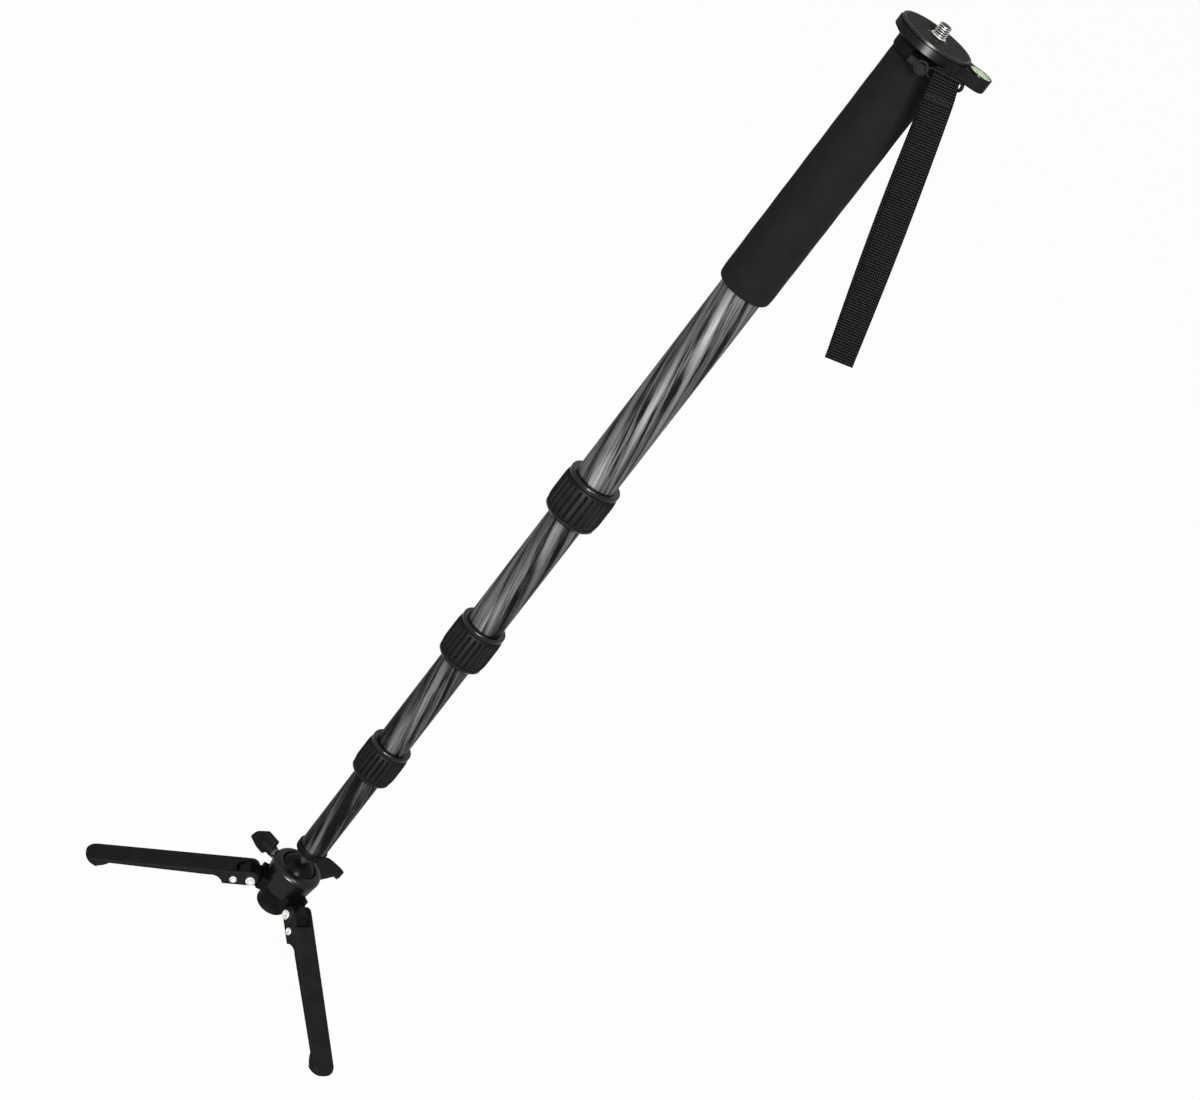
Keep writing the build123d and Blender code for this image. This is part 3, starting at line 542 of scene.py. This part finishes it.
class MONOPOD_OT_tubes(SurfaceOperator, bpy.types.Operator):
    """Finish the four carbon tubes, their guide bushes and collets, the end ring and the plugs"""

    bl_idname = "monopod.tubes"
    bl_label = "Carbon tubes"

    def execute(self, context):
        looks = self.looks(context)
        # painted shade: each lower tube gets a darker copy of the same carbon
        for node, depth in (("tube_1", 1.0), ("tube_2", 0.86), ("tube_3", 0.76), ("tube_4", 0.52)):
            low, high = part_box(node)
            self.dress(carbon_tube("carbon_" + node, (high[0] - low[0]) / 2, looks, depth), node)
        nylon = satin_black("bush_nylon", (0.035, 0.035, 0.036), 0.5)
        self.dress(nylon, "guide_bush_2", "guide_bush_3", "guide_bush_4")
        self.dress(nylon, "collet_1", "collet_2", "collet_3")
        self.dress(satin_black("end_ring", looks.casting, 0.34), "tube_end_collar")
        metal = bright_metal("plug_metal", (0.45, 0.45, 0.46), 0.35)
        self.dress(metal, "tube_plug", "top_plug")
        return {"FINISHED"}


class MONOPOD_OT_locks(SurfaceOperator, bpy.types.Operator):
    """Make the ribbed rubber of the three twist locks and finish their rings"""

    bl_idname = "monopod.locks"
    bl_label = "Twist locks"

    def execute(self, context):
        looks, sizes = self.looks(context), self.sizes(context)
        # painted shade: the colour's share at the bottom of the grooves between the ribs
        groove_shade_share = 0.08
        shade = scaled(looks.rubber, 2.1)
        ring = satin_black("lock_ring", looks.casting, 0.20, 0.5, 0.2)
        for k in (1, 2, 3):
            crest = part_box(f"grip_sleeve_{k}")[1][0] - 0.25 * MM
            grooves = (crest - sizes.rib_depth, crest, groove_shade_share)
            rubber = soft_rubber(f"lock_rubber_{k}", shade, 0.34, 0.11, grooves)
            self.dress(ring, f"ferrule_{k}", f"twist_nut_{k}")
            self.ribbed_sleeve(k, sizes, rubber)
        return {"FINISHED"}

    def ribbed_sleeve(self, k, sizes, rubber):
        """A rubber barrel with grooves that run out before its two ends."""
        node = f"grip_sleeve_{k}"
        low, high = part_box(node)
        outer = (high[0] - low[0]) / 2
        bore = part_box(f"twist_nut_{k}")[1][0] - 0.6 * MM
        z0, z1 = low[2], high[2]
        count = sizes.rib_count
        points_per_rib, steps = 14, 34
        points = count * points_per_rib
        edge_step = 0.2 * MM
        # as shares of the sleeve's height
        barrel_end, edge_end = 0.26, 0.02
        lower_rim, lower_fade = 0.012, 0.05
        upper_rim, upper_fade = 0.055, 0.07
        groove_half = 0.24  # share of the ribs' pitch

        rows = [ring_of(bore, z0, points)]
        for i in range(steps + 1):
            t = i / steps
            end = min(t, 1 - t)
            barrel = outer - sizes.barrel_step * max(0.0, 1 - end / barrel_end) ** 2
            edge = edge_step * max(0.0, 1 - end / edge_end)
            lower = max(0.0, (t - lower_rim) / lower_fade)
            upper = max(0.0, (1 - t - upper_rim) / upper_fade)
            mask = ease(min(1.0, lower, upper))

            def rim(a, barrel=barrel, edge=edge, mask=mask):
                phase = (a * count / (2 * math.pi)) % 1.0
                groove = ease(max(0.0, 1 - abs(phase - 0.5) / groove_half))
                return barrel - edge - sizes.rib_depth * groove * mask

            rows.append(ring_of(rim, z0 + (z1 - z0) * t, points))
        rows.append(ring_of(bore, z1, points))
        mesh = closed_mesh(node + "_ribbed", rows)
        new_piece(node + "_ribbed", mesh, rubber, f"lock_nut_{k}", (node,))


class MONOPOD_OT_grip(SurfaceOperator, bpy.types.Operator):
    """Make the foam handle and finish the collar above it"""

    bl_idname = "monopod.grip"
    bl_label = "Foam grip"

    def execute(self, context):
        looks = self.looks(context)
        low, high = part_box("foam_grip")
        r = (high[0] - low[0]) / 2
        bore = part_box("tube_1")[1][0] + 0.05 * MM
        z0, z1 = low[2], high[2]
        outline = rounded_profile(
            [
                (bore, z0, 0),
                (r - 0.5 * MM, z0, 3.4 * MM),
                (r, z0 + 9 * MM, 2 * MM),
                (r, z1 - 6 * MM, 2 * MM),
                (r - 0.2 * MM, z1, 1.3 * MM),
                (bore, z1, 0),
            ]
        )
        span, row_gap = z1 - z0, 3 * MM
        wave, turns = 0.07 * MM, 40

        def wavy(q, z):
            """The outside's radius with the foam's faint waves. The bore stays straight."""
            if q <= bore + 1 * MM:
                return q
            return q + wave * math.sin(turns * (z - z0) / span) - wave

        dense = []
        for (r0, a0), (r1, a1) in zip(outline, outline[1:]):
            n = max(1, int(abs(a1 - a0) / row_gap))
            dense += [(r0 + (r1 - r0) * i / n, a0 + (a1 - a0) * i / n) for i in range(n)]
        dense.append(outline[-1])
        mesh = closed_mesh("foam_handle", [ring_of(wavy(q, z), z, 128) for q, z in dense])
        foam = cell_foam("handle_foam", looks.foam)
        new_piece("foam_handle", mesh, foam, "section_1", ("foam_grip",))
        self.dress(satin_black("collar_black", looks.casting, 0.34), "top_collar")
        return {"FINISHED"}


class MONOPOD_OT_platform(SurfaceOperator, bpy.types.Operator):
    """Finish the camera platform and make its threaded screw and the level's ring and bubble"""

    bl_idname = "monopod.platform"
    bl_label = "Camera platform"

    def execute(self, context):
        looks, sizes = self.looks(context), self.sizes(context)
        black = satin_black("platform_black", scaled(looks.casting, 1.8), 0.32, 0.16, 0.3)
        self.dress(black, "mount_plate")
        self.dress(satin_black("disc_grey", (0.016, 0.016, 0.0165), 0.28, 0.3, 0.3), "camera_plate")
        self.dress(soft_rubber("pad_rubber", looks.platform_pad, 0.62), "camera_pad")
        self.dress(satin_black("grub_black", (0.02, 0.02, 0.02), 0.3), "plate_screws")
        self.dress(level_fluid("level_fluid", looks.level_fluid), "level_vial")
        self.dress(level_fluid("level_rim", (0.20, 0.52, 0.10)), "level_bezel")
        self.dress(clear_dome("level_glass"), "level_lens")
        radius = 4.76 * MM  # of a 3/8 inch thread
        # painted shade: the colour's share at the bottom of the thread's valleys
        valley_shade_share = 0.05
        painted_valley_shade = (radius - sizes.thread_depth, radius, valley_shade_share)
        steel = bright_metal("screw_steel", scaled(looks.nickel, 0.8), 0.28, painted_valley_shade)
        self.camera_screw(sizes, steel, radius)
        self.level_marks()
        return {"FINISHED"}

    def camera_screw(self, sizes, steel, radius):
        """A shank, a small flange on the disc, and the thread up to a domed tip."""
        count, rows_per_turn = 64, 10
        shank = 4.0 * MM
        flange = ((5.3, 0.0), (5.6, 0.3), (5.6, 0.9), (5.3, 1.2), (4.0, 1.2))  # radius, height
        tip, tip_share, tip_fade = 2.0 * MM, 0.93, 2.2
        run_in = 0.5  # turns over which the thread grows from the flange
        slope, crest_flat = 1.25, 0.12  # of the thread's outline
        low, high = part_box("camera_stud")
        top = high[2]
        z_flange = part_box("camera_plate")[1][2] + 0.05 * MM
        z_start = z_flange + flange[-1][1] * MM
        pitch, depth = sizes.thread_pitch, sizes.thread_depth

        rows = [ring_of(shank, low[2], count), ring_of(shank, z_flange, count)]
        rows += [ring_of(q * MM, z_flange + h * MM, count) for q, h in flange]
        z = z_start
        while z < top - 0.05 * MM:
            z += pitch / rows_per_turn
            dome = max(0.0, (z - (top - tip)) / tip)
            crest = radius * math.sqrt(max(0.0, 1 - (tip_share * dome) ** 2))
            fade = max(0.0, 1 - dome * tip_fade) * min(1.0, (z - z_start) / (run_in * pitch))

            def rim(a, z=z, crest=crest, fade=fade):
                phase = ((z - z_start) / pitch - a / (2 * math.pi)) % 1.0
                valley = 1 - abs(phase - 0.5) * 2
                valley = min(1.0, max(0.0, valley * slope - crest_flat))
                return crest - depth * valley * fade

            rows.append(ring_of(rim, min(z, top), count))
        mesh = grid_mesh("camera_screw_thread", rows)
        new_piece(
            "camera_screw_thread", mesh, steel, "section_1", ("camera_stud",)
        )

    def level_marks(self):
        """The printed ring and the bubble under the level's cover. Sizes in millimetres."""
        low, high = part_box("level_lens")
        centre = ((low[0] + high[0]) / 2, 0)
        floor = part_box("level_vial")[1][2]

        ring_radius, ring_half, ring_rise, ring_half_height = 2.9, 0.16, 0.10, 0.07
        rows = []
        for i in range(9):
            a = 2 * math.pi * i / 8
            radius = (ring_radius + ring_half * math.cos(a)) * MM
            height = floor + (ring_rise + ring_half_height * math.sin(a)) * MM
            rows.append(ring_of(radius, height, 64, centre))
        mesh = grid_mesh("level_circle", rows, caps=False)
        new_piece("level_circle", mesh, level_mark("level_mark"), "section_1", ())

        bubble_radius, bubble_rise, bubble_half_height = 2.3, 0.45, 0.36
        rows = []
        for i in range(1, 12):
            a = math.pi * i / 12 - math.pi / 2
            height = floor + (bubble_rise + bubble_half_height * math.sin(a)) * MM
            rows.append(ring_of(bubble_radius * MM * math.cos(a), height, 48, centre))
        mesh = grid_mesh("level_bubble", rows)
        new_piece("level_bubble", mesh, level_bubble("level_bubble"), "section_1", ())


class MONOPOD_OT_base(SurfaceOperator, bpy.types.Operator):
    """Finish the ball, its housing and lock, the hub and the three legs"""

    bl_idname = "monopod.base"
    bl_label = "Base and legs"

    def execute(self, context):
        looks = self.looks(context)
        casting = looks.casting
        cap = soft_rubber("cap_rubber", scaled(looks.rubber, 1.7), 0.36, 0.1)
        sole = soft_rubber("sole_rubber", looks.rubber, 0.7)
        leg = satin_black("leg_black", looks.leg_paint, 0.40, 0.05)
        nickel = bright_metal("screw_nickel", looks.nickel, 0.22)
        steel = bright_metal("knob_steel", (0.07, 0.07, 0.072), 0.3)
        stem = bright_metal("stem_metal", (0.06, 0.06, 0.062), 0.3)
        self.dress(satin_black("hub_black", casting, 0.28, 0.15, 0.2), "leg_hub")
        self.dress(satin_black("housing_black", casting, 0.28, 0.4, 0.28), "ball_housing")
        self.dress(satin_black("ball_black", casting, 0.26, 0.15, 0.25), "ball")
        self.dress(satin_black("knob_black", scaled(casting, 2.6), 0.38), "lock_knob")
        self.dress(cap, "foot_cap")
        for i in (1, 2, 3):
            self.dress(leg, f"leg_{i}")
            self.dress(sole, f"leg_pad_{i}")
            self.dress(nickel, f"leg_pivot_{i}", f"leg_pin_{i}")
        self.dress(stem, "stem_washers", "ball_stem")
        self.dress(steel, "knob_shaft", "knob_collar", "seat_spring")
        self.dress(bright_metal("shoe_brass", (0.72, 0.55, 0.25), 0.3), "brake_shoe")
        self.dress(satin_black("seat_plastic", (0.03, 0.03, 0.03), 0.5), "ball_seat")
        return {"FINISHED"}


class MONOPOD_OT_strap(SurfaceOperator, bpy.types.Operator):
    """Make the wrist strap and finish the ring and lug that carry it"""

    bl_idname = "monopod.strap"
    bl_label = "Wrist strap"

    def execute(self, context):
        looks, sizes = self.looks(context), self.sizes(context)
        grey = satin_black("lug_black", scaled(looks.casting, 1.2), 0.30, 0.06, 0.5)
        self.dress(grey, "strap_lug", "lug_screw", "strap_ring")
        weave = webbing_weave("strap_weave", looks.webbing, sizes.rib_pitch, sizes.strap_width)

        # the ring's upper bar, and the middle of the part of it that carries the webbing
        tilt = math.radians(11)
        wire = 1.25 * MM  # radius of the bar
        bar_start, bar_stop, bar_rise = 8.8 * MM, 26.6 * MM, 3.0 * MM
        along = Vector((math.cos(tilt), 0, math.sin(tilt)))
        up = Vector((-math.sin(tilt), 0, math.cos(tilt)))
        out = Vector((0, -1, 0))
        low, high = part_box("lug_screw")
        screw = Vector((0.004, -0.02965, low[2] / 2 + high[2] / 2))
        mid = screw + up * bar_rise + along * ((bar_start + bar_stop) / 2)

        # the hanging layers, which widen below the bar
        lean = sizes.strap_lean
        hang = Vector((math.sin(lean), 0, -math.cos(lean)))
        across = Vector((math.cos(lean), 0, math.sin(lean)))
        total, flare_length = 203.5 * MM, 14 * MM
        bar_half, full_half = 8.9 * MM, sizes.strap_width / 2
        layer, clearance = sizes.strap_layer, 0.2 * MM
        fold = layer * 0.55
        front = wire + clearance + layer * 1.6
        tail_front, stitch_front = front + layer * 1.62, front + layer * 2.1
        belly_depth = 0.9 * MM

        def hanging(offset, fan, begin):
            """One layer's points: place, width direction, outward direction, half width."""
            steps = 40
            points = []
            for i in range(steps + 1):
                u = begin + (total - begin) * i / steps
                flare = min(1.0, u / flare_length)
                half = bar_half + (full_half - bar_half) * flare
                direction = along.lerp(across, flare).normalized()
                bow = math.sin(math.pi * min(1.0, u / total))
                sway = fan * bow * across
                belly = out * (belly_depth * bow)
                points.append((mid + hang * u + out * offset + sway + belly, direction, out, half))
            return points

        # from behind the bar over its top, down the front, round the fold and up again
        path = []
        roll = wire + clearance + layer / 2
        for i in range(15):
            a = math.radians(200 - 200 * i / 14)
            place = mid + up * (roll * math.sin(a)) + out * (-roll * math.cos(a))
            normal = (up * math.sin(a) + out * (-math.cos(a))).normalized()
            path.append((place, along, normal, bar_half))
        path += hanging(front + fold, 1.5 * MM, 2.5 * MM)
        centre = mid + hang * total + out * front
        for i in range(1, 8):
            a = math.pi * i / 8
            place = centre + hang * (fold * math.sin(a)) + out * (fold * math.cos(a))
            normal = (hang * math.sin(a) + out * math.cos(a)).normalized()
            path.append((place, across, normal, full_half))
        inner = hanging(front - fold, -1.6 * MM, 5.0 * MM)
        path += [(place, width, -normal, half) for place, width, normal, half in reversed(inner)]
        self.ribbon("strap_webbing", path, sizes, weave, ("wrist_strap",))

        # the sewn tail over the front layer, from the ring down
        tail = []
        tail_start, tail_length = 1.0 * MM, 17 * MM
        tail_half, tail_full = 8.8 * MM, full_half - 0.2 * MM
        for i in range(13):
            u = tail_start + tail_length * i / 12
            flare = min(1.0, u / flare_length)
            half = tail_half + (tail_full - tail_half) * flare
            place = mid + hang * u + out * tail_front
            tail.append((place, along.lerp(across, flare).normalized(), out, half))
        self.ribbon("strap_tail", tail, sizes, weave, ())
        self.stitches(mid, hang, across, out, stitch_front)
        return {"FINISHED"}

    def ribbon(self, name, points, sizes, material, replaces):
        """A flat band through the points, whose cross ribs are real waves in it."""
        pitch = sizes.rib_pitch
        row_gap = pitch / 8
        valley_share, rib_share = 0.74, 0.26  # of the thickness
        edge_share = 0.7  # of half the thickness, by which the flat sides stop short of the edge
        valley_inset = 0.3 * MM
        dense = []
        for (p0, w0, n0, h0), (p1, w1, n1, h1) in zip(points, points[1:]):
            steps = max(1, math.ceil((p1 - p0).length / row_gap))
            for i in range(steps):
                t = i / steps
                normal = n0.lerp(n1, t).normalized()
                dense.append((p0.lerp(p1, t), w0.lerp(w1, t), normal, h0 + (h1 - h0) * t))
        dense.append(points[-1])

        rows, uvs = [], []
        run, last = 0.0, dense[0][0]
        for place, width, normal, half in dense:
            run += (place - last).length
            last = place
            swell = abs(math.sin(math.pi * run / pitch)) ** 0.6
            thickness = sizes.strap_layer * (valley_share + rib_share * swell)
            half -= valley_inset * (1 - swell)
            shoulder = half - thickness * 0.5 * edge_share
            third = half * 0.33
            back = [
                (-half, -0.25), (-shoulder, -0.5), (-third, -0.5),
                (third, -0.5), (shoulder, -0.5), (half, -0.25),
            ]
            profile = back + [(-x, -y) for x, y in back]
            rows.append([tuple(place + width * x + normal * (y * thickness)) for x, y in profile])
            uvs += [(x, run) for x, y in profile]
        mesh = grid_mesh(name, rows)
        layer = mesh.uv_layers.new(name="weave")
        for loop in mesh.loops:
            layer.data[loop.index].uv = uvs[loop.vertex_index]
        new_piece(name, mesh, material, "strap", replaces)

    def stitches(self, mid, hang, across, out, depth):
        """Two rows of stitches across the tail. Sizes in millimetres."""
        heights, gap = (14.6, 16.4), 1.62
        thread = soft_rubber("strap_thread", (0.045, 0.045, 0.047), 0.6)
        turn = Matrix((across, hang, out)).transposed().to_4x4()
        size = Matrix.Diagonal((0.62 * MM, 0.2 * MM, 0.16 * MM, 1))
        bm = bmesh.new()
        for height in heights:
            for i in range(-5, 6):
                centre = mid + hang * (height * MM) + across * (i * gap * MM) + out * depth
                place = Matrix.Translation(centre) @ turn @ size
                bmesh.ops.create_uvsphere(bm, u_segments=10, v_segments=6, radius=1.0, matrix=place)
        mesh = bpy.data.meshes.new("strap_stitches")
        bm.to_mesh(mesh)
        bm.free()
        new_piece("strap_stitches", mesh, thread, "strap", ())


class MONOPOD_OT_stage(SurfaceOperator, bpy.types.Operator):
    """Make the pale floor, the soft lights and the camera"""

    bl_idname = "monopod.stage"
    bl_label = "Studio"

    def execute(self, context):
        scene, studio = context.scene, context.scene.monopod_studio
        scene.view_settings.view_transform = "Standard"
        self.floor()
        self.world(scene, studio)
        self.area("key_light", (0.75, -1.9, 1.9), (0.8, 0.8), studio.key_power)
        self.area("fill_light", (-1.9, -0.9, 1.5), (0.8, 1.8), studio.fill_power)
        self.area("band_light", (0, -2.2, 0.35), (0.7, 0.6), studio.band_power, gloss_only=True)
        self.camera(scene, studio)
        return {"FINISHED"}

    def camera(self, scene, studio):
        """The photograph's camera, turned as it was solved from the tubes, platform and feet."""
        camera = bpy.data.cameras.new("view_camera")
        camera.sensor_fit = "HORIZONTAL"
        camera.sensor_width = 36
        camera.lens = studio.lens
        camera.clip_end = 100
        right = Vector((0.7875, 0.2601, 0.5587))
        up = Vector((-0.6163, 0.3324, 0.7139))
        back = Vector((0.0, -0.9066, 0.4221))
        turn = Matrix((right, up, back)).transposed().to_4x4()
        eye = bpy.data.objects.new("view_camera", camera)
        eye.matrix_world = Matrix.Translation(Vector(studio.camera_place)) @ turn
        scene.collection.objects.link(eye)
        scene.camera = eye

    def floor(self):
        """A pale floor that looks white to the camera and in reflections."""
        half, glow_share, drop = 30, 0.98, 0.0002
        s = Shader("pale_floor")
        tree = s.tree
        speck = s.noise(s.place(), 3.0, 2.0)
        color = s.ramp(speck, [(0.0, (0.93, 0.93, 0.93)), (1.0, (0.97, 0.97, 0.97))])
        s.set(color=color, roughness=0.9, specular=0.1)
        glow = s.add("Emission", {"Color": (1.0, 1.0, 1.0), "Strength": 1.0})
        mix = s.add("MixShader", {"Fac": s.math("MULTIPLY", s.seen(), glow_share)})
        tree.links.new(s.surface.outputs[0], mix.inputs[1])
        tree.links.new(glow.outputs[0], mix.inputs[2])
        tree.links.new(mix.outputs[0], tree.nodes["Material Output"].inputs["Surface"])
        mesh = bpy.data.meshes.new("studio_floor")
        corners = [(-half, -half, 0), (half, -half, 0), (half, half, 0), (-half, half, 0)]
        mesh.from_pydata(corners, [], [(0, 1, 2, 3)])
        mesh.materials.append(s.material)
        floor = bpy.data.objects.new("studio_floor", mesh)
        floor.location.z = -drop
        bpy.context.scene.collection.objects.link(floor)

    def world(self, scene, studio):
        """A surround that looks white to the camera and in reflections, and lights little."""
        world = bpy.data.worlds.new("studio_surround")
        scene.world = world
        world.use_nodes = True
        tree = world.node_tree
        back = tree.nodes["Background"]
        back.inputs["Color"].default_value = (1, 1, 1, 1)
        path = tree.nodes.new("ShaderNodeLightPath")
        seen = path.outputs["Is Camera Ray"]
        for kind in ("Is Glossy Ray", "Is Transmission Ray"):
            either = tree.nodes.new("ShaderNodeMath")
            either.operation = "MAXIMUM"
            tree.links.new(seen, either.inputs[0])
            tree.links.new(path.outputs[kind], either.inputs[1])
            seen = either.outputs[0]
        level = tree.nodes.new("ShaderNodeMix")
        level.data_type = "FLOAT"
        level.inputs["A"].default_value = studio.world_level
        level.inputs["B"].default_value = 1.0
        tree.links.new(seen, level.inputs["Factor"])
        tree.links.new(level.outputs["Result"], back.inputs["Strength"])

    def area(self, name, place, size, power, gloss_only=False):
        """A soft light that looks at the middle of the pole."""
        aim = Vector((0, 0, 0.45))
        light = bpy.data.lights.new(name, "AREA")
        light.shape = "RECTANGLE"
        light.size, light.size_y = size
        light.energy = power
        lamp = bpy.data.objects.new(name, light)
        lamp.location = place
        lamp.visible_diffuse = not gloss_only
        lamp.rotation_euler = (aim - Vector(place)).to_track_quat("-Z", "Y").to_euler()
        bpy.context.scene.collection.objects.link(lamp)


# Panel ------------------------------------------------------------------------------------


class MONOPOD_PT_panel(bpy.types.Panel):
    """The monopod's pieces and settings in the sidebar"""

    bl_idname = "MONOPOD_PT_panel"
    bl_label = "Camera Monopod"
    bl_space_type = "VIEW_3D"
    bl_region_type = "UI"
    bl_category = "Monopod"

    def draw(self, context):
        column = self.layout.column()
        for operator in PIECES:
            column.operator(operator.bl_idname)
        for group in ("monopod_finishes", "monopod_sizes", "monopod_studio"):
            box = self.layout.box()
            settings = getattr(context.scene, group)
            for key in settings.__annotations__:
                box.prop(settings, key)


PIECES = (
    MONOPOD_OT_stage,
    MONOPOD_OT_tubes,
    MONOPOD_OT_locks,
    MONOPOD_OT_grip,
    MONOPOD_OT_platform,
    MONOPOD_OT_base,
    MONOPOD_OT_strap,
)
GROUPS = (MonopodFinishes, MonopodSizes, MonopodStudio)


def register():
    for cls in (*GROUPS, *PIECES, MONOPOD_PT_panel):
        bpy.utils.register_class(cls)
    bpy.types.Scene.monopod_finishes = PointerProperty(type=MonopodFinishes)
    bpy.types.Scene.monopod_sizes = PointerProperty(type=MonopodSizes)
    bpy.types.Scene.monopod_studio = PointerProperty(type=MonopodStudio)


def unregister():
    del bpy.types.Scene.monopod_finishes
    del bpy.types.Scene.monopod_sizes
    del bpy.types.Scene.monopod_studio
    for cls in reversed((*GROUPS, *PIECES, MONOPOD_PT_panel)):
        bpy.utils.unregister_class(cls)


def main():
    register()
    for operator in PIECES:
        group, name = operator.bl_idname.split(".")
        getattr(getattr(bpy.ops, group), name)()


if __name__ == "__main__":
    main()
